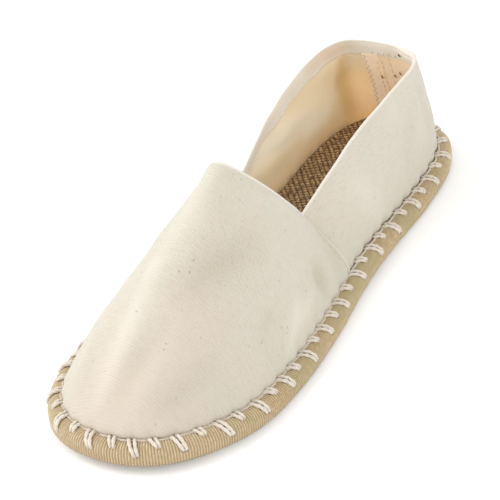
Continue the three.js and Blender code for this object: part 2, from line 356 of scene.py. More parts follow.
# The edge tape is a finely ribbed khaki cotton webbing, about 28 mm wide. It is wrapped round the sole's
# edge, and its upper flap lies flat under the upper. The yarn's stitches pull it in a little.
FEATHER_INSET = 6
TAPE_THICKNESS = 0.9
TAPE_FOOT = 1.3
TAPE_TURN_IN = 11
TAPE_RIB_PITCH = 1.1
TAPE_RIB_HEIGHT = 0.2
POINTS_PER_RIB = 4
# the sole's edge in section: shares of its thickness in from the outline, and up from the floor
EDGE_PROFILE = [(0.0, 0.36), (0.0, 0.6), (0.1, 0.83), (0.3, 0.97), (0.5, 1.0)]
PROFILE_STEPS = 3


def distances(path):
    """How far along a path each of its points is."""
    return np.concatenate([[0], np.cumsum(np.linalg.norm(np.diff(path, axis=0), axis=1))])


tape_section = [(EDGE_PROFILE[0][0] * SOLE_THICKNESS, TAPE_FOOT)]
tape_section += [(into * SOLE_THICKNESS, up * SOLE_THICKNESS) for into, up in EDGE_PROFILE]
tape_section += [(FEATHER_INSET, SOLE_THICKNESS), (TAPE_TURN_IN, SOLE_THICKNESS)]
tape_places = np.linspace(0, len(tape_section) - 1, (len(tape_section) - 1) * PROFILE_STEPS + 1)
tape_line = spline(tape_section, tape_places, False)
tape_length = distances(tape_line)
tape_way = np.gradient(tape_line, axis=0)
tape_way /= np.linalg.norm(tape_way, axis=1, keepdims=True)
tape_out = np.stack([-tape_way[:, 1], tape_way[:, 0]], axis=1)
FINE_PLACES = 2400


def even_places(spacing, first, last, inset=0.0):
    """Places about that many millimetres apart, from section first to last, and the length they cover."""
    fine = np.linspace(first, last, FINE_PLACES)
    length = distances(outline(fine, inset))
    count = max(int(round(length[-1] / spacing)), 2)
    return np.interp(np.linspace(0, length[-1], count + 1), length, fine), length[-1]


def grid_faces(rows, columns, close_rows, close_columns):
    """Faces of a grid of points, numbered along its columns first."""
    i, j = np.meshgrid(np.arange(rows if close_rows else rows - 1),
                       np.arange(columns if close_columns else columns - 1), indexing="ij")
    i2, j2 = (i + 1) % rows, (j + 1) % columns
    corners = [i * columns + j, i * columns + j2, i2 * columns + j2, i2 * columns + j]
    return np.stack([corner.ravel() for corner in corners], axis=1)


edge_length = even_places(1, 0, ROUND)[1]
rib_count = round(edge_length / TAPE_RIB_PITCH)
rib_places = even_places(edge_length / (rib_count * POINTS_PER_RIB), 0, ROUND)[0][:-1]
rib_rise = TAPE_RIB_HEIGHT * np.cos(np.arange(len(rib_places)) * 2 * math.pi / POINTS_PER_RIB)
round_places = np.linspace(0, ROUND, FINE_PLACES + 1)
round_length = distances(outline(round_places, FEATHER_INSET))
FOOT_LENGTH = round_length[-1]


def along_foot(s):
    """The distance round the upper's foot from the heel to place s."""
    return np.interp(np.mod(s, ROUND), round_places, round_length)


def place_at(distance):
    """The place round the shoe at that distance from the heel."""
    return np.interp(np.mod(distance, FOOT_LENGTH), round_length, round_places)


def apart(u, centre):
    """The way round the shoe from centre to u, the short way."""
    return (u - centre + FOOT_LENGTH / 2) % FOOT_LENGTH - FOOT_LENGTH / 2


STITCH_SPACING = 9.35
# how much closer the stitches stand at the toe than at the heel
TOE_CROWDING = 0.024
LONG_LEG = 7.8
SHORT_LEG = 4.3
LEG_SLANT = 0.24
# each leg of yarn comes out a little beyond its stitch's place
LEG_BEYOND = 0.8
DIMPLE = 0.28
DIMPLE_WIDTH = 1.6
# how far the painted shade beside each leg of yarn reaches
YARN_SHADE_WIDTH = 2.0
STITCHES = 2 * round(FOOT_LENGTH / STITCH_SPACING / 2)
chance = np.random.default_rng(7)
# each stitch: its place round the foot, how far it reaches down over the tape, and how much it slants
stitches = []
for number in range(STITCHES):
    share = (number + 0.5 + chance.uniform(-0.09, 0.09)) / STITCHES
    centre = (share + TOE_CROWDING * math.sin(2 * math.pi * share)) * FOOT_LENGTH
    leg = (LONG_LEG if number % 2 else SHORT_LEG) + chance.uniform(-0.7, 0.7)
    stitches.append((centre, leg, LEG_SLANT + chance.uniform(-0.1, 0.12)))

tape_down = np.interp(FEATHER_INSET, tape_line[:, 0], tape_length) - tape_length


def under_yarn(s, wide):
    """How near each point of the tape is to a leg of yarn: 1 under it, and 0 away from it."""
    u = along_foot(s)[:, None]
    near = 0
    for centre, leg, slant in stitches:
        off = apart(u, centre + LEG_BEYOND - (slant + 0.1) * tape_down)
        # it fades out past the leg's end and above the canvas's foot
        on_leg = np.clip((leg + 1.5 - tape_down) / 2.5, 0, 1) * np.clip((tape_down + 3) / 2, 0, 1)
        near = near + on_leg * np.exp(-((off / wide) ** 2))
    return near


def tape_points(s, rise):
    """Points on the tape's section at each place s, standing rise out of it and pulled in under the yarn."""
    rise = rise[:, None] - DIMPLE * under_yarn(s, DIMPLE_WIDTH)
    inset = tape_line[:, 0] + tape_out[:, 0] * rise
    height = tape_line[:, 1] + tape_out[:, 1] * rise
    plan = outline(np.repeat(s[:, None], len(tape_line), axis=1), inset)
    return np.concatenate([plan, (height + lift(plan[..., 0]))[..., None]], axis=2)


def store(piece, name, values):
    """Keeps three values for each point with the mesh, for its material."""
    layer = piece.data.attributes.new(name, "FLOAT_VECTOR", "POINT")
    layer.data.foreach_set("vector", np.asarray(values, float).ravel())


# the hidden inside of the tape needs only every fourth point
UNDER_STEP = 4
tape_outside = tape_points(rib_places, rib_rise)
tape_inside = tape_points(rib_places, np.full(len(rib_places), -TAPE_THICKNESS))[:, ::-UNDER_STEP]
tape_grid = np.concatenate([tape_outside, tape_inside], axis=1)
tape_faces = grid_faces(tape_grid.shape[0], tape_grid.shape[1], True, True)

TAPE_LIGHT = (0.79, 0.64, 0.40, 1)
TAPE_DARK = (0.55, 0.405, 0.225, 1)
TAPE_GREEN = (0.55, 0.50, 0.28, 1)
# the shade painted in the ribs' grooves, along the tape's top by the canvas and beside the yarn
TAPE_PAINTED_SHADE = (0.25, 0.155, 0.065, 1)
TAPE_WARM = (0.62, 0.42, 0.22, 1)
TAPE_PALE = (0.82, 0.72, 0.54, 1)
TAPE_DEEP = (0.40, 0.29, 0.12, 1)
paint = Paint("ribbed_tape", 0.9, 0.3)
place = paint.place()
cloth = paint.stored("cloth")
rib = paint.axis(cloth, "X")
down = paint.axis(cloth, "Y")
slub = paint.noise(place, 0.9, 3.0)
shade = paint.noise(place, 0.035, 2.0).between(0.4, 0.62)
fuzz = paint.noise(place, 5.0, 3.0)
colour = paint.mix(slub.between(0.3, 0.75), TAPE_DARK, TAPE_LIGHT)
colour = paint.mix(shade * 0.75, colour, TAPE_GREEN)
worn = paint.noise(place, 0.5, 2.0).between(0.38, 0.6)
colour = paint.mix((1 - worn) * 0.35, colour, TAPE_DEEP)
toe = paint.axis(place, "X").between(60, 125)
heel = 1 - paint.axis(place, "X").between(-128, -95)
colour = paint.mix(heel * 0.35 + toe * 0.2, colour, TAPE_PALE)
colour = paint.mix(down.between(6, 14) * (0.3 + toe * 0.3), colour, TAPE_WARM)
# painted shade in the ribs' grooves, along the tape's top by the canvas, and beside each leg of yarn
colour = paint.mix((1 - rib) * (0.42 + slub * 0.6), colour, TAPE_PAINTED_SHADE)
colour = paint.mix((1 - down.between(-0.6, 1.6)) * 0.6, colour, TAPE_PAINTED_SHADE)
colour = paint.mix(paint.axis(cloth, "Z").between(0.35, 1) * 0.45, colour, TAPE_PAINTED_SHADE)
tape_material = paint.finish(colour, fuzz + slub, 0.12)
tape = make_piece("ribbed_edge_tape", tape_grid.reshape(-1, 3), tape_faces, tape_material)
# for each point: how high on its rib it is, how far down the tape, and how near to the yarn, which set the
# tape's colour and where its shade is painted
rib_light = np.repeat((0.5 + 0.5 * rib_rise / TAPE_RIB_HEIGHT)[:, None], tape_grid.shape[1], axis=1)
rib_down = np.tile(np.concatenate([tape_down, tape_down[::-UNDER_STEP]]), (len(rib_places), 1))
shade_by_yarn = under_yarn(rib_places, YARN_SHADE_WIDTH)
shade_by_yarn = np.concatenate([shade_by_yarn, shade_by_yarn[:, ::-UNDER_STEP]], axis=1)
store(tape, "cloth", np.stack([rib_light, rib_down, shade_by_yarn], axis=2))
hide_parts("edge_tape")

# The quarter is a strip of unbleached cotton canvas that runs round the heel from one side of the instep to
# the other. It leans in over the heel, and its top edge is folded 9 mm inside as a hem.
FEATHER_RISE = 22
# how strongly the knee draws the wall's curve, from below and from above
KNEE_PULL = 0.9
CROWN_PULL = 0.42
COLLAR_BACK = 26
COLLAR_LENGTH = 110
COLLAR_WIDTH = 44.5
HEEL_HEIGHT = 49
CORNER_HEIGHT = 26.5
INSTEP_HEIGHT = 64
THROAT_WIDTH = 31
THROAT_REACH = 31
HEM_DEPTH = 9
HEM_BEVEL = 0.8
CANVAS = 0.75
WALL = 1.3
HEM_INSIDE = 1.42
HEM_FOLD = 1.05
FOOT_OF_UPPER = SOLE_THICKNESS + CLEARANCE
# how far the wall leans in and stands up at its knee, as shares of FEATHER_RISE, for each section heel to toe
KNEE = [
    (0.2, 0.9), (0.17, 0.9), (0.12, 0.9), (0.08, 0.9), (0.08, 0.9), (0.1, 0.8), (0.2, 0.6),
    (0.24, 0.75), (0.26, 0.8), (0.27, 0.76), (0.26, 0.7), (0.24, 0.65), (0.22, 0.62), (0.22, 0.62),
]
# the collar's edge behind the seam: share of its length, of its half width, and of its fall to the corner
COLLAR = [
    (0.0, 0.0, 0.0), (0.006, 0.42, 0.0), (0.045, 0.8, -0.01),
    (0.17, 1.0, -0.04), (0.37, 0.99, 0.04), (0.65, 0.88, 0.32),
]
# the throat's edge from its corner to its top: share of its rise, and of its half width
THROAT = [
    (0.0, 1.0), (0.2, 0.98), (0.42, 0.9), (0.64, 0.73),
    (0.83, 0.48), (0.945, 0.24), (0.99, 0.09), (1.0, 0.0),
]
# the points of each section's curve that its length is measured with
WALL_STEPS = 25
# the small steps round and up the wall that give the cloth's slope at a point
STEP_ROUND = 0.02
STEP_UP = 0.004
OUTER_SEAM = len(COLLAR)
INNER_SEAM = ROUND - OUTER_SEAM


def collar_point(row, side):
    """Where the upper's edge crosses that section, above the upper's foot."""
    if row < OUTER_SEAM:
        back, half, drop = COLLAR[row]
        x = COLLAR_BACK + back * COLLAR_LENGTH
        return (x, side * half * COLLAR_WIDTH / 2, HEEL_HEIGHT - drop * (HEEL_HEIGHT - CORNER_HEIGHT))
    up, half = THROAT[row - OUTER_SEAM]
    x = COLLAR_BACK + COLLAR_LENGTH + up * THROAT_REACH
    return (x, side * half * THROAT_WIDTH / 2, CORNER_HEIGHT + up * (INSTEP_HEIGHT - CORNER_HEIGHT))


collar_points = [collar_point(row, side) for row, side in sections]
throat_edge = collar_points[OUTER_SEAM:INNER_SEAM + 1]
quarter_edge = collar_points[INNER_SEAM:] + collar_points[:OUTER_SEAM + 1]
knee_points = [KNEE[row] for row, side in sections]


def bare_wall(s, v):
    """The upper's outside before any fold, at places s and shares v of the way up, and its length there."""
    s = np.mod(s, ROUND)
    foot = outline(s, FEATHER_INSET)
    foot = np.column_stack([foot, FOOT_OF_UPPER + lift(foot[:, 0])])
    bend = spline(knee_points, s, True) * FEATHER_RISE
    knee = np.column_stack([outline(s, FEATHER_INSET + bend[:, 0]), foot[:, 2] + bend[:, 1]])
    vamp = (s >= OUTER_SEAM) & (s <= INNER_SEAM)
    along_throat = spline(throat_edge, np.clip(s - OUTER_SEAM, 0, len(throat_edge) - 1), False)
    past_seam = np.where(s > INNER_SEAM, s - INNER_SEAM, s + ROUND - INNER_SEAM)
    along_quarter = spline(quarter_edge, past_seam, False)
    edge = np.where(vamp[:, None], along_throat, along_quarter) + [0, 0, FOOT_OF_UPPER]
    low = foot + (knee - foot) * KNEE_PULL
    high = edge + (knee - edge) * CROWN_PULL

    def bezier(t):
        t = t[..., None]
        a, b, c, d = (point[:, None, :] for point in (foot, low, high, edge))
        return a * (1 - t) ** 3 + 3 * b * t * (1 - t) ** 2 + 3 * c * t**2 * (1 - t) + d * t**3

    steps = np.linspace(0, 1, WALL_STEPS)
    pieces = np.linalg.norm(np.diff(bezier(np.tile(steps, (len(s), 1))), axis=1), axis=2)
    length = np.concatenate([np.zeros((len(s), 1)), np.cumsum(pieces, axis=1)], axis=1)
    share = np.array([np.interp(v[i] * length[i, -1], length[i], steps) for i in range(len(s))])
    return bezier(share), length[:, -1]


def wall_length(s):
    """How far the cloth runs from the sole up to its edge, at each place s."""
    return bare_wall(s, np.ones((len(s), 1)))[1]


def wall(s, v, out, up=0.0):
    """Points of the folded cloth: out stands off the upper's outside, and up is a step towards its edge."""
    s = np.asarray(s, float)
    v = np.broadcast_to(v, (len(s), np.shape(v)[-1]))
    point, length = bare_wall(s, v)
    home = np.mod(s, ROUND)
    vamp = (home >= OUTER_SEAM) & (home <= INNER_SEAM)
    before = np.where(vamp, np.maximum(home - STEP_ROUND, OUTER_SEAM), home - STEP_ROUND)
    after = np.where(vamp, np.minimum(home + STEP_ROUND, INNER_SEAM), home + STEP_ROUND)
    along = bare_wall(after, v)[0] - bare_wall(before, v)[0]
    above, below = np.minimum(v + STEP_UP, 1), np.maximum(v - STEP_UP, 0)
    rise = bare_wall(s, above)[0] - bare_wall(s, below)[0]
    rise /= np.linalg.norm(rise, axis=2, keepdims=True)
    # at its foot the cloth stands off level, so that it doesn't dip into the tape
    level = np.clip(v / 0.02, 0, 1)[..., None] * [0, 0, 1] + [1, 1, 0]
    normal = np.cross(rise, along) * level
    normal /= np.linalg.norm(normal, axis=2, keepdims=True)
    off = np.broadcast_to(out, v.shape) + relief(point, s, v * length[:, None])
    return point + normal * off[..., None] + rise * np.broadcast_to(up, v.shape)[..., None]


# the puckers: their depth, how far they stand out between stitches as a share of it, and how high they reach
PUCKER = 0.8
PUCKER_FULL = 0.35
PUCKER_HEIGHT = 3.6
PULL_WIDTH = 2.6
TUCK_UNDER = 0.5
TUCK_HEIGHT = 1.1
# the folds fade out over this height above the sole
FOLDS_FROM = 8
# the main folds: where each starts and ends on the shoe in the part's own frame, its half width, and its
# height, which is negative for a hollow
FOLDS = [
    ((40, -4, 70), (74, -6, 51), 5, 0.7),
    ((74, -6, 51), (119, -5, 22), 4.6, 1.05),
    ((93, 7, 39), (120, 1, 21), 5.2, -1.2),
    ((101, -17, 31), (116, -16, 21), 4, -0.8),
    ((46, 16, 50), (78, 9, 46), 8, -3.0),
    ((101, 10, 34), (116, 8, 23), 3.2, 0.6),
    ((91, 25, 25), (114, 17, 19), 5, -1.6),
    ((17, 27, 25), (21, 32, 16), 4, -2.8),
    ((39, 31, 25), (58, 36, 14), 3.2, 0.9),
    ((31, 32, 20), (45, 35, 18), 3, 0.8),
    ((55, 29, 30), (67, 30, 26), 4, -1.2),
    ((60, -24, 40), (48, -32, 24), 7, -1.6),
    ((18, -27, 25), (24, -34, 11), 5, -2.2),
    ((38, -29, 28), (54, -36, 14), 6, 1.6),
    ((-2, 21, 34), (5, 31, 14), 5, -1.3),
    ((-26, 24, 40), (-38, 28, 18), 9, 0.6),
    ((-62, 21, 55), (-72, 24, 46), 6, 0.3),
    ((-80, 22, 46), (-70, 28, 20), 7, -0.8),
    ((-92, 22, 52), (-99, 23, 26), 4, -1.5),
    ((-107, 6, 50), (-119, 9, 20), 6, 1.3),
    ((-103, -19, 50), (-110, -22, 16), 4.5, 2.2),
    ((2, -18, 27), (-52, -22, 47), 14, 3.0),
    ((-45, -21, 41), (-98, -23, 32), 6, -1.0),
    ((-26, -20, 33), (-70, -24, 27), 4, 0.8),
    ((-84, -22, 54), (-86, -27, 20), 6, -1.2),
    ((-20, -23, 38), (-12, -29, 16), 7, -1.4),
    ((-112, 15, 36), (-118, 6, 36), 13, -1.2),
]
# long low waves that keep the cloth from lying dead smooth: wavelength, direction in degrees, height
WAVES = [(31, 20, 0.16), (23, 75, 0.13), (41, 130, 0.18), (17, 160, 0.08), (27, 48, 0.1)]


def folds(point):
    """How far the main folds lift the cloth at each point."""
    total = 0
    for start, end, wide, depth in FOLDS:
        start, end = np.array(start, float) - TO_FRAME, np.array(end, float) - TO_FRAME
        span = end - start
        share = np.clip((point - start) @ span / (span @ span), 0, 1)
        away = np.linalg.norm(point - start - share[..., None] * span, axis=2)
        total = total + depth * np.exp(-((away / wide) ** 2)) * (0.55 + 0.45 * np.sin(math.pi * share))
    return total


def relief(point, s, height):
    """How far the cloth stands off its smooth form: in at each stitch, out between them, folded and waved."""
    u = along_foot(s)[:, None]
    pull = 0
    for centre, leg, slant in stitches:
        pull = pull + np.exp(-((apart(u, centre + LEG_BEYOND) / PULL_WIDTH) ** 2))
    low = np.exp(-((height / PUCKER_HEIGHT) ** 2))
    tuck_under = TUCK_UNDER * (0.55 + pull) * np.exp(-((height / TUCK_HEIGHT) ** 2))
    total = PUCKER * low * (PUCKER_FULL - pull) * np.clip(height / 0.8, 0.4, 1) - tuck_under
    soft = np.clip(height / FOLDS_FROM, 0, 1)
    total = total + soft * folds(point)
    for number, (length, turn, high) in enumerate(WAVES):
        turn = math.radians(turn)
        way = point[..., 0] * math.cos(turn) + (point[..., 1] + point[..., 2]) * math.sin(turn)
        total = total + soft * high * np.sin(2 * math.pi * way / length + number * 2.1)
    return total


FOLD_ROUND = 0.4
SEAM_STITCH_IN = 2.2
SEAM_SHADOW = 0.8
# millimetres from one section to the next, at the side seams
SECTION_LENGTH = 36
RIM_STEPS = 5
RIM_HEIGHT = 0.8
# how far in from the cloth's folded edges its painted highlight reaches
RIM_HIGHLIGHT_WIDTH = 0.7


def shell(name, s, v, outer, inner, ends, material):
    """A closed skin of cloth between two depths of the wall, round at its top and pinched at its two ends.

    Returns the piece, its points in rows, and for its material each point's place on the flat cloth, round the
    foot and up the wall, with a third value: 1 at the cloth's edges, which get a painted highlight, -1 inside.
    """
    outer = np.broadcast_to(outer, v.shape).astype(float)
    inner = np.broadcast_to(inner, v.shape).astype(float)
    if ends:
        run = distances(outline(s, FEATHER_INSET))
        near = np.minimum(run, run[-1] - run) / FOLD_ROUND
        full = np.sqrt(1 - (1 - np.clip(near, 0, 1)) ** 2)[:, None]
        middle, half = (outer + inner) / 2, (outer - inner) / 2
        outer, inner = middle + half * full, middle - half * full
    turn = np.linspace(0, math.pi, RIM_STEPS + 2)[1:-1]
    middle, half = (outer[:, -1:] + inner[:, -1:]) / 2, (outer[:, -1:] - inner[:, -1:]) / 2
    rim_v = np.tile(v[:, -1:], (1, RIM_STEPS))
    rim = wall(s, rim_v, middle + half * np.cos(turn), half * np.sin(turn) * RIM_HEIGHT)
    rows = np.concatenate([wall(s, v, outer), rim, wall(s, v, inner)[:, ::-1]], axis=1)
    faces = grid_faces(rows.shape[0], rows.shape[1], not ends, True)
    piece = make_piece(name, rows.reshape(-1, 3), faces, material)

    def over_rim(values):
        return np.concatenate([values, np.tile(values[:, -1:], (1, RIM_STEPS)), values[:, ::-1]], axis=1)

    bare, lengths = bare_wall(s, v)
    lengths = lengths[:, None]
    high = over_rim(v) * lengths
    # each fold's height, which sets its painted shade and highlight
    fold = over_rim(folds(bare))
    u = np.repeat(np.unwrap(along_foot(s), period=FOOT_LENGTH)[:, None], high.shape[1], axis=1)
    near_rim = np.clip(1 - (lengths - high) / RIM_HIGHLIGHT_WIDTH, 0, 1)
    from_end = np.minimum(u - u[0], u[-1] - u) + (0 if ends else FOOT_LENGTH)
    near_end = np.clip(1.3 - from_end / RIM_HIGHLIGHT_WIDTH, 0, 1)
    edge = np.maximum(near_rim, near_end)
    # where a shadow is painted beside the seam's stitches, a little in from the cloth's ends
    seam = np.exp(-(((from_end - SEAM_STITCH_IN) / SEAM_SHADOW) ** 2))
    # for the material: the folds' height, the height up the wall, and the painted shadow by the seam
    store(piece, "form", np.stack([fold, high, seam], axis=2))
    edge[:, v.shape[1] + RIM_STEPS:] = -1
    return piece, rows, np.stack([u, high, edge], axis=2)


def add_ends(s, first, last):
    """Places with a few more close to each end, where the cloth's edge is round."""
    close = np.array([1.0, 2.2, 4.0]) * (0.1 / SECTION_LENGTH)
    return np.concatenate([[first], first + close, s[1:-1], last - close[::-1], [last]])


def hemmed_cloth(first, last, rows):
    """The mesh lines of a cloth between two places round the shoe, with a hem inside its top edge.

    Returns the places, the shares up the wall, which of them are hem, and how far each is below the edge.
    """
    s = add_ends(even_places(LINE_SPACING, first, last, FEATHER_INSET)[0], first, last)
    length = wall_length(s)[:, None]
    under, over = 1 - (HEM_DEPTH + HEM_BEVEL) / length, 1 - HEM_DEPTH / length
    low = np.linspace(0, 1, rows)[None, :] * under
    top = over + (1 - over) * np.linspace(0, 1, HEM_ROWS)[None, :]
    v = np.concatenate([low, top], axis=1)
    return s, v, np.arange(v.shape[1]) >= rows, (1 - v) * length


CANVAS_LIGHT = (0.70, 0.672, 0.578, 1)
CANVAS_WARM = (0.66, 0.60, 0.51, 1)
CANVAS_COOL = (0.63, 0.60, 0.502, 1)
CANVAS_PINK = (0.645, 0.53, 0.45, 1)
# darker canvas for slubs, weave and low down, and painted shade in fold hollows and by seam stitches
CANVAS_DARK_AND_SHADE = (0.46, 0.40, 0.29, 1)
# painted highlight on the folds' ridges and along the cloth's folded edges
CANVAS_HIGHLIGHT = (0.84, 0.79, 0.70, 1)
# painted light: the canvas's inside, which is the same cloth, painted lighter
CANVAS_INSIDE_LIT = (0.88, 0.83, 0.73, 1)
# painted warm shade on the hem where it turns round inside the heel
CANVAS_PEACH_SHADE = (0.72, 0.51, 0.34, 1)
# painted shade along the canvas's foot
CANVAS_FOOT_SHADE = (0.48, 0.40, 0.28, 1)
FLECK_BROWN = (0.30, 0.235, 0.16, 1)
# the daylight that comes through the canvas, and through its hem at the back of the heel
LIGHT_THROUGH = (0.19, 0.175, 0.15, 1)
LIGHT_THROUGH_BACK = (0.66, 0.68, 0.66, 1)
LIGHT_THROUGH_STRENGTH = 0.29
WEFT_PITCH = 0.95
WARP_PITCH = 0.8
FLECK_CELL = 3.8
paint = Paint("canvas", 0.93, 0.25)
cloth = paint.stored("cloth")
form = paint.stored("form")
place = paint.place()
across = paint.noise(paint.stretch(cloth, (0.22, 1.5, 1.0)), 1.0, 3.0)
upright = paint.noise(paint.stretch(cloth, (1.5, 0.22, 1.0)), 1.0, 3.0)
wander = paint.noise(place, 0.25, 2.0) * 0.9
weft = (paint.axis(cloth, "Y") + wander).wave(WEFT_PITCH)
warp = (paint.axis(cloth, "X") + wander).wave(WARP_PITCH)
weave = weft * 0.62 + warp * 0.38
slub = across * 0.65 + upright * 0.35
patch = paint.noise(place, 0.035, 3.0)
colour = paint.mix(patch.between(0.42, 0.6), CANVAS_WARM, CANVAS_COOL)
colour = paint.mix((1 - slub.between(0.34, 0.5)) * 0.3, colour, CANVAS_DARK_AND_SHADE)
colour = paint.mix(slub.between(0.48, 0.66) * 0.55, colour, CANVAS_LIGHT)
toe = paint.axis(place, "X").between(70, 105)
colour = paint.mix((1 - weave) * (0.08 + toe * 0.06 + slub * 0.42), colour, CANVAS_DARK_AND_SHADE)
low = 1 - paint.axis(form, "Y").between(2, 30)
colour = paint.mix(low * 0.14, colour, CANVAS_DARK_AND_SHADE)
colour = paint.mix(paint.near(place, (122, 2, 15), (92, 14, 34), 34) * 0.5, colour, CANVAS_PINK)
# painted shade in the folds' hollows and painted highlight on their ridges, as deep and high as each fold
fold = paint.axis(form, "X")
colour = paint.mix((fold * -0.13).math("MAXIMUM", 0), colour, CANVAS_DARK_AND_SHADE)
colour = paint.mix((fold * 0.32).math("MAXIMUM", 0), colour, CANVAS_HIGHLIGHT)
# painted shade along the canvas's foot, where it tucks in against the tape
colour = paint.mix((1 - paint.axis(form, "Y").between(-0.4, 1.7)) * 0.75, colour, CANVAS_FOOT_SHADE)
# painted shadow beside the stitches behind the vamp's folded edges
colour = paint.mix(paint.axis(form, "Z") * 0.35, colour, CANVAS_DARK_AND_SHADE)
cells = {"Vector": paint.stretch(cloth, (1 / FLECK_CELL, 1 / FLECK_CELL, 0.0)), "Scale": 1.0}
from_fleck = paint.add("TexVoronoi", {"feature": "F1"}, cells)
fleck_here = paint.add("TexVoronoi", {"feature": "F1"}, cells, "Color")
fleck = (1 - from_fleck.between(0.04, 0.15)) * paint.axis(fleck_here, "X").between(0.4, 0.95)
colour = paint.mix(fleck * 0.65, colour, FLECK_BROWN)
# painted highlight along the folded top edge and the vamp's folded rear edges
edge = paint.axis(cloth, "Z")
colour = paint.mix(edge.between(0, 1) * 0.7, colour, CANVAS_HIGHLIGHT)
inside = edge.between(0, -1)
# painted light: the inside of the canvas and its hem are painted lighter than the outside
colour = paint.mix(inside * 0.85, colour, CANVAS_INSIDE_LIT)
# painted warm shade on the hem inside the heel's inner turn
inner_turn = paint.near(place, (-80, -23, 59), (-98, -20, 56), 12)
colour = paint.mix(inside * inner_turn * 0.6, colour, CANVAS_PEACH_SHADE)
height = weave * 0.8 + slub * 1.1 + paint.noise(place, 3.0, 2.0) * 0.4
canvas = paint.finish(colour, height, 0.11)
# daylight that comes through the thin canvas shows only on its inside
glow = paint.near(place, (-110, -4, 55), (-107, 8, 54), 22)
glow = paint.mix(glow, LIGHT_THROUGH, LIGHT_THROUGH_BACK)
paint.glow(paint.mix(inside, (0, 0, 0, 1), glow), LIGHT_THROUGH_STRENGTH)

# how far the quarter's ends run on under the vamp, and how far apart the mesh's lines are
TUCK = 8
LINE_SPACING = 0.95
QUARTER_ROWS = 46
HEM_ROWS = 12
HEM_FOLD_DEPTH = 2.5
# the hem is thickest at the heel's outer corner, where the seam's layers meet in it
HEM_BULK = 2.2
HEM_BULK_AT = 27.6
HEM_BULK_WIDTH = 0.8
HEM_BULK_DEPTH = 7
tuck = TUCK / SECTION_LENGTH
quarter_s, quarter_v, hem, from_top = hemmed_cloth(INNER_SEAM - tuck, ROUND + OUTER_SEAM + tuck, QUARTER_ROWS)
bulk = HEM_BULK * np.exp(-(((quarter_s - HEM_BULK_AT) / HEM_BULK_WIDTH) ** 2))[:, None]
bulk = bulk * np.exp(-((from_top / HEM_BULK_DEPTH) ** 2))
hem_inside = HEM_FOLD + (HEM_INSIDE - HEM_FOLD) * np.clip(from_top / HEM_FOLD_DEPTH, 0, 1) + bulk
quarter_inner = np.where(hem, -hem_inside, -CANVAS)
quarter, _, flat = shell("quarter", quarter_s, quarter_v, 0.0, quarter_inner, True, canvas)
store(quarter, "cloth", flat)

# The vamp is one piece of the same canvas, drawn over the toes to a rounded ridge. Its rear edge is folded.
# It crosses the instep as the throat, and at each side it laps over the quarter and is sewn down to the sole.
VAMP_ROWS = 66
VAMP_LAP = 0.9
FOLD_LIFT = 0.55
FOLD_WIDTH = 5.5
GROOVE_DEPTH = 0.45
GROOVE_WIDTH = 1.0
vamp_s, vamp_v, hem, from_throat = hemmed_cloth(OUTER_SEAM, INNER_SEAM, VAMP_ROWS)
from_seam = np.minimum(vamp_s - OUTER_SEAM, INNER_SEAM - vamp_s)[:, None] * SECTION_LENGTH
fold_here = np.exp(-((np.minimum(from_seam, from_throat) / FOLD_WIDTH) ** 4))
groove = np.exp(-(((from_seam - SEAM_STITCH_IN) / GROOVE_WIDTH) ** 2))
vamp_outer = VAMP_LAP + FOLD_LIFT * fold_here - GROOVE_DEPTH * groove
vamp_inner = np.where(hem, -WALL, VAMP_LAP - CANVAS)
vamp, rows, flat = shell("vamp", vamp_s, vamp_v, vamp_outer, vamp_inner, True, canvas)
# the vamp's cloth runs straight over its ridge, so its threads are measured from there and not from its foot
ridge = rows[len(vamp_s) // 2, vamp_v.shape[1] - 1::-1]
fall = np.maximum(np.interp(rows[..., 0], ridge[:, 0], ridge[:, 2]) - rows[..., 2], 0)
flat[..., 0] = np.sign(rows[..., 1]) * np.hypot(rows[..., 1], fall)
flat[..., 1] = rows[..., 0]
store(vamp, "cloth", flat)
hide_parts("upper")
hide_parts("upper")

# The lining is a tan cotton drill, cut like the upper and sewn in with it along the sole. Its top edge ends
# under the folded hem. Daylight comes through the thin canvas and makes it glow, most of all inside the heel.
LINING_SPACING = 1.6
LINING_ROWS = 44
LINING_UNDER_HEM = 1.5
LINING_GAP = 0.03
lining_s = even_places(LINING_SPACING, 0, ROUND, FEATHER_INSET)[0][:-1]
lining_top = 1 - (HEM_DEPTH - LINING_UNDER_HEM) / wall_length(lining_s)
lining_v = np.linspace(0, 1, LINING_ROWS)[None, :] * lining_top[:, None]
LINING_TAN = (0.87, 0.745, 0.51, 1)
# painted warm shade, low inside the shoe and lower in the heel
LINING_DEEP_SHADE = (0.88, 0.58, 0.26, 1)
# a paler drill, for its random paler patches and as painted light on the far side
LINING_PALE_AND_LIT = (0.92, 0.86, 0.71, 1)
# painted shade in the lining's hollows and along its foot
LINING_HOLLOW_SHADE = (0.62, 0.42, 0.15, 1)
# painted light at the back of the heel
LINING_BACK_LIT = (0.90, 0.74, 0.55, 1)
LIGHT_THROUGH_LINING = (0.27, 0.21, 0.125, 1)
LIGHT_THROUGH_WALL = (0.42, 0.40, 0.33, 1)
LIGHT_THROUGH_HEEL = (1.15, 0.68, 0.30, 1)
LIGHT_THROUGH_SEAM = (0.80, 0.60, 0.44, 1)
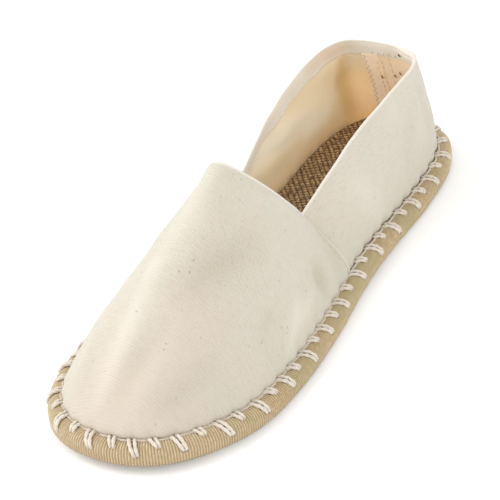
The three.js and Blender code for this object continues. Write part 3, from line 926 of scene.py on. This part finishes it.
# painted shade in the lining's hollows and painted light on its far side: from where to where in the part's
# frame, how wide, how strongly, and in which colour
LINING_PATCHES = [
    ((-60, -22, 48), (-97, -22, 44), 11, 0.28, LINING_HOLLOW_SHADE),
    ((-30, -20, 38), (-92, -24, 26), 11, 0.8, LINING_PALE_AND_LIT),
    ((-20, -21, 26), (-68, -24, 24), 7, 0.3, LINING_HOLLOW_SHADE),
    ((-103, -21, 47), (-104, -21, 36), 7, 0.7, LINING_HOLLOW_SHADE),
    ((-104, -21, 38), (-113, -21, 14), 8, 0.95, LINING_HOLLOW_SHADE),
]
paint = Paint("lining", 0.92, 0.3)
place = paint.place()
slub = paint.noise(paint.stretch(place, (0.3, 0.3, 2.2)), 1.0, 3.0)
patch = paint.noise(place, 0.03, 2.0).between(0.4, 0.62)
high = paint.axis(place, "Z")
heel = 1 - paint.axis(place, "X").between(-112, -84)
colour = paint.mix(patch * 0.3, LINING_TAN, LINING_PALE_AND_LIT)
colour = paint.mix(slub.between(0.38, 0.66) * 0.5, colour, LINING_PALE_AND_LIT)
# painted warm shade, low down inside the shoe and over the lower part of the heel
deep = (1 - high.between(10, 25)) * 0.5 + heel * (1 - high.between(34, 50)) * 0.2
colour = paint.mix(deep, colour, LINING_DEEP_SHADE)
for start, end, wide, strength, tone in LINING_PATCHES:
    colour = paint.mix(paint.near(place, start, end, wide) * strength, colour, tone)
# painted shade along the lining's foot, by the insole
colour = paint.mix((1 - high.between(10.5, 15)) * 0.5, colour, LINING_HOLLOW_SHADE)
# painted light at the back of the heel, where the glow through the seam also falls
colour = paint.mix(paint.near(place, (-120, 0, 20), (-110, 2, 50), 20) * 0.8, colour, LINING_BACK_LIT)
height = slub + paint.noise(place, 2.2, 2.0) * 0.6
lining_material = paint.finish(colour, height, 0.16)
heel_light = paint.near(place, (-121, -15, 14), (-117, -14, 32), 20)
side_light = paint.near(place, (-30, -20, 38), (-92, -24, 26), 12)
seam_light = paint.near(place, (-120, 0, 20), (-110, 2, 50), 22)
glow = paint.mix(side_light, LIGHT_THROUGH_LINING, LIGHT_THROUGH_WALL)
glow = paint.mix(heel_light, glow, LIGHT_THROUGH_HEEL)
paint.glow(paint.mix(seam_light, glow, LIGHT_THROUGH_SEAM), LIGHT_THROUGH_STRENGTH)
shell("lining", lining_s, lining_v, -CANVAS - LINING_GAP, -WALL, False, lining_material)

# The seam at the back of the heel shows inside. The ends of the cloth are turned to one side there, and lie
# flat beside the centre as a pale strip that is sewn down.
# the strip lies between these places round the shoe
HEEL_SEAM_FROM = 24.65
HEEL_SEAM_TO = 25.45
SEAM_STRIP = 0.3
STRIP_LINES = 14
STRIP_ROWS = 40
strip_spread = np.linspace(HEEL_SEAM_FROM, HEEL_SEAM_TO, STRIP_LINES)
strip_s = add_ends(strip_spread, HEEL_SEAM_FROM, HEEL_SEAM_TO)
strip_v = np.linspace(0.06, 0.84, STRIP_ROWS)[None, :] * np.ones((len(strip_s), 1))
STRIP_CLOTH = (0.92, 0.81, 0.66, 1)
STRIP_SHADE = (0.86, 0.73, 0.56, 1)
paint = Paint("seam_strip", 0.92, 0.3)
place = paint.place()
slub = paint.noise(paint.stretch(place, (1.0, 1.0, 0.3)), 1.0, 3.0)
colour = paint.mix(slub.between(0.3, 0.6), STRIP_SHADE, STRIP_CLOTH)
strip_material = paint.finish(colour, slub, 0.15)
paint.glow(LIGHT_THROUGH_SEAM, LIGHT_THROUGH_STRENGTH)
shell("heel_seam", strip_s, strip_v, -WALL - 0.02, -WALL - SEAM_STRIP, True, strip_material)

# The insole is a sock of woven jute that is cut to the inside of the wall and lies on the sole. Its thick,
# uneven brown yarns cross on the diagonal.
INSOLE_THICKNESS = 2.4
INSOLE_ROUND = 0.7
JUTE_PITCH = 2.2
JUTE_HEIGHT = 0.5
JUTE_WANDER = 0.3
JUTE_CELL = 0.49
JUTE_ACROSS = 160
JUTE_TURN = 38
# the lowest share of the wall that the insole's side follows
LOWEST_SHARE = 0.004


def insole_edge(s, rise, inset):
    """The insole's side, which follows the inside of the wall."""
    share = np.maximum(rise / wall_length(s), LOWEST_SHARE)[:, None]
    point = bare_wall(s, share)[0][:, 0]
    along = outline(s + 0.01, 0.0) - outline(s - 0.01, 0.0)
    inward = np.column_stack([along[:, 1], -along[:, 0]]) / np.linalg.norm(along, axis=1, keepdims=True)
    plan = point[:, :2] + inward * (WALL + 2 * CLEARANCE + inset)
    return np.column_stack([plan, FOOT_OF_UPPER + rise + lift(plan[:, 0])])


def weave_height(x, y):
    """A plain weave of round, uneven yarns, from 0 in the gaps to 1 on the crowns."""
    turn = math.radians(JUTE_TURN)
    x, y = x + JUTE_WANDER * np.sin(y / 5.3 + x / 9.1), y + JUTE_WANDER * np.sin(x / 4.7 - y / 8.3)
    u = (x * math.cos(turn) + y * math.sin(turn)) / JUTE_PITCH
    w = (y * math.cos(turn) - x * math.sin(turn)) / JUTE_PITCH
    over = (np.floor(u) + np.floor(w)) % 2
    fu, fw = u - np.floor(u) - 0.5, w - np.floor(w) - 0.5
    warp = np.cos(fu * math.pi) ** 0.6 * (0.55 + 0.45 * np.cos(fw * math.pi))
    weft = np.cos(fw * math.pi) ** 0.6 * (0.55 + 0.45 * np.cos(fu * math.pi))
    return np.where(over > 0, warp, weft)


insole_s = even_places(JUTE_CELL, HEEL, TOE, FEATHER_INSET)[0]
one = insole_edge(insole_s, INSOLE_THICKNESS, INSOLE_ROUND)
other = insole_edge(ROUND - insole_s, INSOLE_THICKNESS, INSOLE_ROUND)
blend = np.linspace(0, 1, JUTE_ACROSS)[None, :, None]
top = one[:, None, :] * (1 - blend) + other[:, None, :] * blend
steps_across = np.arange(JUTE_ACROSS)
fade = np.minimum(1, np.minimum(steps_across, steps_across[::-1]) / 2)
jute_weave = weave_height(top[..., 0], top[..., 1])
top[..., 2] += (jute_weave - 0.5) * JUTE_HEIGHT * fade
count = len(insole_s)
ring_s = np.concatenate([insole_s, ROUND - insole_s[-2:0:-1]])
# the side goes down from the woven top in three rings, each given as its height and its inset
INSOLE_SIDE = [(INSOLE_THICKNESS - INSOLE_ROUND, 0), (INSOLE_ROUND, 0), (0.0, INSOLE_ROUND / 2)]
points = top.reshape(-1, 3).tolist()
ring = [i * JUTE_ACROSS for i in range(count)]
ring += [i * JUTE_ACROSS + JUTE_ACROSS - 1 for i in range(count - 2, 0, -1)]
faces = [face[::-1] for face in grid_faces(count, JUTE_ACROSS, False, False).tolist()]
for rise, inset in INSOLE_SIDE:
    below = list(range(len(points), len(points) + len(ring)))
    points += insole_edge(ring_s, rise, inset).tolist()
    for i in range(len(ring)):
        j = (i + 1) % len(ring)
        faces.append([ring[j], ring[i], below[i], below[j]])
    ring = below
faces.append(ring)
JUTE_BROWN = (0.31, 0.195, 0.09, 1)
JUTE_LIGHT = (0.76, 0.55, 0.30, 1)
# a dark jute, for its random dark patches and as painted shade in the weave's gaps
JUTE_DARK_AND_SHADE = (0.085, 0.045, 0.022, 1)
paint = Paint("woven_jute", 0.95, 0.1)
place = paint.place()
fibre = paint.noise(place, 1.2, 4.0)
dark = paint.noise(place, 0.35, 2.0)
colour = paint.mix(fibre.between(0.38, 0.66), JUTE_BROWN, JUTE_LIGHT)
colour = paint.mix(dark.between(0.46, 0.68) * 0.7, colour, JUTE_DARK_AND_SHADE)
# painted shade in the gaps between the woven yarns
crown = paint.axis(paint.stored("cloth"), "X").between(0.35, 0.85)
colour = paint.mix((1 - crown) * 0.85, colour, JUTE_DARK_AND_SHADE)
insole = make_piece("jute_insole", points, faces, paint.finish(colour, fibre, 0.3))
raised = np.concatenate([jute_weave.ravel(), np.zeros(len(points) - jute_weave.size)])
store(insole, "cloth", np.column_stack([raised, raised * 0, raised * 0]))
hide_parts("insole")

# A blanket stitch of doubled off-white cotton yarn holds the upper and the tape to the sole. Each leg comes
# out at the foot of the canvas, slants over the tape and goes in at its side, a long one and a short one in
# turn. Between them the yarn runs on along the foot of the canvas.
YARN = 0.76
YARN_TWIST = 5.0
YARN_SIDES = 10
LEG_STEPS = 22
RUN_STEPS = 30
# how far a leg starts above the canvas's foot, how deep its ends lie, and how far its middle stands off
LEG_ABOVE = 1.1
LEG_DEEP = 1.0
LEG_OFF = 0.8
# the two strands of a leg: how far to one side each starts and ends, and how much it lies over the other
STRANDS = [(2.1, 1.0, 0.0), (-0.2, -1.0, 0.25)]
# the run between two legs: how deep it starts, how far it stands off, how far it sags and wobbles, how far it
# reaches back from its leg, and how much longer than the gap it is
RUN_DEEP = 0.85
RUN_OFF = 0.3
RUN_SAG = 0.5
RUN_WOBBLE = 0.25
RUN_BACK = 0.6
RUN_LONGER = 2.6
# a twisted yarn's mean and swelling, as shares of its radius, and how far it narrows at its ends
PLY_MEAN = 0.91
PLY_SWELL = 0.14
END_SHARE = 0.3


def strand(path, radius, twist, sides=YARN_SIDES):
    """A closed tube along a path, with two plies that turn round each other."""
    path = np.asarray(path, float)
    along = np.gradient(path, axis=0)
    along /= np.linalg.norm(along, axis=1, keepdims=True)
    normal = np.cross(along, [0.31, 0.17, 0.93])
    normal /= np.linalg.norm(normal, axis=1, keepdims=True)
    other = np.cross(along, normal)
    turn = np.linspace(0, 2 * math.pi, sides, endpoint=False)
    phase = turn[None, :] - (distances(path) * 2 * math.pi / twist)[:, None]
    size = radius * (PLY_MEAN + PLY_SWELL * np.cos(2 * phase))
    size[0] *= END_SHARE
    size[-1] *= END_SHARE
    rings = path[:, None] + size[..., None] * (
        np.cos(turn)[None, :, None] * normal[:, None] + np.sin(turn)[None, :, None] * other[:, None])
    faces = grid_faces(len(path), sides, False, True).tolist()
    faces.append(list(range(sides - 1, -1, -1)))
    faces.append(list(range((len(path) - 1) * sides, len(path) * sides)))
    return rings.reshape(-1, 3), faces


def gather(parts):
    """One set of points and faces from several."""
    points, faces, start = [], [], 0
    for part_points, part_faces in parts:
        points.append(part_points)
        faces += [[corner + start for corner in face] for face in part_faces]
        start += len(part_points)
    return np.concatenate(points), faces


def over_tape(distance, down, off):
    """Points over the tape: how far round the shoe, down it from the canvas's foot, and off its face."""
    into = np.interp(down, tape_down[::-1], tape_line[::-1, 0])
    height = np.interp(down, tape_down[::-1], tape_line[::-1, 1])
    out_in = np.interp(down, tape_down[::-1], tape_out[::-1, 0])
    out_up = np.interp(down, tape_down[::-1], tape_out[::-1, 1])
    plan = outline(place_at(distance), into + out_in * off)
    return np.column_stack([plan, height + out_up * off + lift(plan[:, 0])])


yarns = []
# how much painted shade each ring of yarn gets, most where it goes into the cloth
sunk = []
for number, (centre, leg, slant) in enumerate(stitches):
    share = np.linspace(0, 1, LEG_STEPS)
    arch = np.sin(math.pi * share) ** 0.3
    reach = leg * chance.uniform(0.94, 1.04)
    for top, foot, lay in STRANDS:
        down = -LEG_ABOVE + share * (reach + LEG_ABOVE)
        sweep = top + (foot / 2 - top) * share**1.3 - slant * reach * share**1.4
        off = -LEG_DEEP + (YARN + LEG_OFF) * arch + lay * np.sin(math.pi * share)
        path = over_tape(centre + sweep, down, off)
        yarns.append(strand(path, YARN * chance.uniform(0.88, 1.05), YARN_TWIST))
        sunk.append(np.repeat(1 - np.clip(arch * 2.4 - 1, 0, 1), YARN_SIDES))
    following = stitches[(number + 1) % STITCHES][0]
    share = np.linspace(0, 1, RUN_STEPS)
    gap = (following - centre) % FOOT_LENGTH
    sag = np.sin(math.pi * share)
    wobble = np.sin(share * 2 * math.pi * 1.5 + number) * RUN_WOBBLE
    off = -RUN_DEEP + (YARN + RUN_OFF) * sag**0.5 + wobble * 0.5
    down = 0.1 + RUN_SAG * sag + wobble * sag + chance.uniform(-0.2, 0.2)
    path = over_tape(centre - RUN_BACK + share * (gap + RUN_LONGER), down, off)
    yarns.append(strand(path, YARN * chance.uniform(0.62, 0.78), YARN_TWIST))
    sunk.append(np.repeat(1.15 - 0.6 * sag, YARN_SIDES))
YARN_WHITE = (0.82, 0.76, 0.67, 1)
YARN_SHADE = (0.66, 0.57, 0.46, 1)
# painted shade on the yarn
YARN_SUNK_SHADE = (0.36, 0.28, 0.19, 1)
paint = Paint("cotton_yarn", 0.9, 0.35)
place = paint.place()
fibre = paint.noise(place, 2.2, 3.0)
colour = paint.mix(fibre.between(0.35, 0.7), YARN_SHADE, YARN_WHITE)
# painted shade where the yarn goes into the cloth, and along the runs between legs
shade_where_sunk = paint.axis(paint.stored("cloth"), "X")
colour = paint.mix(shade_where_sunk * (0.3 + fibre * 0.6), colour, YARN_SUNK_SHADE)
yarn_material = paint.finish(colour, fibre, 0.15)
points, faces = gather(yarns)
yarn = make_piece("blanket_stitch", points, faces, yarn_material)
sunk = np.concatenate(sunk)
store(yarn, "cloth", np.column_stack([sunk, sunk * 0, sunk * 0]))

# The seam threads are fine cream cotton. A row of small stitches runs behind the vamp's folded edge on each
# side, and one along the hem inside. Three rows, a zigzag and a few cross stitches hold the heel's seam.
THREAD = 0.17
THREAD_TWIST = 1.2
THREAD_SIDES = 6
THREAD_STITCH = 2.6
THREAD_GAP = 0.7
THREAD_STEPS = 6


def thread_on_wall(s, v, off, radius):
    """A thread along places s and shares v of the wall, standing that far off it."""
    return strand(wall(s, v[:, None], off[:, None])[:, 0], radius, THREAD_TWIST, THREAD_SIDES)


def thread_row(first_s, last_s, share_at, depth, spans):
    """A row of small stitches on the wall, each over one span of the row and sunk at both its ends."""
    made = []
    for start, end in spans:
        along = np.linspace(0, 1, THREAD_STEPS)
        way = start + (end - start) * along
        s = first_s + (last_s - first_s) * way
        arch = THREAD * (1.6 * np.sin(math.pi * along) - 0.8)
        made.append(thread_on_wall(s, share_at(s, way), depth + arch * np.sign(depth), THREAD))
    return made


def stitch_spans(length):
    """The spans of a row's stitches, as shares of its length."""
    pitch = THREAD_STITCH + THREAD_GAP
    starts = [k * pitch + THREAD_GAP / 2 for k in range(int(length / pitch))]
    return [(start / length, (start + THREAD_STITCH) / length) for start in starts]


# the rows beside the vamp's folded edges
parts = []
for seam, inward in ((OUTER_SEAM, 1), (INNER_SEAM, -1)):
    at = seam + inward * SEAM_STITCH_IN / SECTION_LENGTH
    spans = stitch_spans(wall_length([at])[0] - 3)
    parts += thread_row(at, at, lambda s, way: 0.04 + way * 0.93, VAMP_LAP, spans)
# the hem's row, a little above the hem's lower edge
HEM_ROW_LENGTH = 290
HEM_ROW_UP = 1.2


def hem_row(s, way):
    return 1 - (HEM_DEPTH - HEM_ROW_UP) / wall_length(s)


spans = stitch_spans(HEM_ROW_LENGTH)
parts += thread_row(INNER_SEAM + 0.1, ROUND + OUTER_SEAM - 0.1, hem_row, -HEM_INSIDE, spans)
# the zigzag over the free edge of the heel seam's strip
ZIGZAG_STEP = 1.5
ZIGZAG_WIDTH = 0.16
strip_height = wall_length([HEEL_SEAM_FROM])[0]
zigzag_count = int(strip_height * 0.78 / ZIGZAG_STEP)
corners = np.arange(zigzag_count)
fine = np.linspace(0, zigzag_count - 1, zigzag_count * 4)
zigzag_s = np.interp(fine, corners, HEEL_SEAM_FROM + 0.02 + ZIGZAG_WIDTH * (corners % 2))
zigzag_v = np.interp(fine, corners, np.linspace(0.07, 0.84, zigzag_count))
zigzag_off = np.full(len(fine), -WALL - SEAM_STRIP - THREAD * 0.6)
parts.append(thread_on_wall(zigzag_s, zigzag_v, zigzag_off, THREAD))
# the heel seam's straight rows: place round the shoe, depth, and the share of the wall where each ends
HEEL_ROWS = [(25.36, WALL + SEAM_STRIP, 0.82), (25.62, WALL, 0.82), (26.05, HEM_INSIDE, 0.97)]
spans = stitch_spans(strip_height * 0.8)
for at, deep, top in HEEL_ROWS:
    parts += thread_row(at, at, lambda s, way: 0.04 + way * (top - 0.04), -deep, spans)
# the cross stitches that close the hem over the seam
for at in np.linspace(25.2, 27.6, 9):
    parts += thread_row(at, at + 0.12, lambda s, way: 0.845 + way * 0.05, -HEM_INSIDE - 0.1, [(0.0, 1.0)])
THREAD_CREAM = (0.76, 0.67, 0.52, 1)
paint = Paint("seam_thread", 0.7, 0.2)
thread_material = paint.finish(THREAD_CREAM)
points, faces = gather(parts)
make_piece("seam_threads", points, faces, thread_material)

# A few ends of brown thread stick out of the hem and the seam at the heel's outer corner. They are short and
# twisted, and are left from tying off the last stitches.
TIE_BROWN = (0.16, 0.10, 0.05, 1)
TIE = 0.28
# where each comes out: its place round the shoe, and its height up the wall
TIES = [(26.72, 47.2), (27.25, 47.9), (26.45, 33.6), (26.15, 31.7), (27.0, 49.0), (25.4, 30.0)]
ties = []
for at, high in TIES:
    share = np.linspace(0, 1, THREAD_STEPS)
    s = at + 0.07 * share
    height = high + 1.6 * np.sin(share * math.pi * 1.3)
    out = -HEM_INSIDE - 0.9 * np.sin(math.pi * share)
    ties.append(thread_on_wall(s, height / wall_length(s), out, TIE))
paint = Paint("tie_thread", 0.8, 0.1)
points, faces = gather(ties)
make_piece("tie_threads", points, faces, paint.finish(TIE_BROWN))
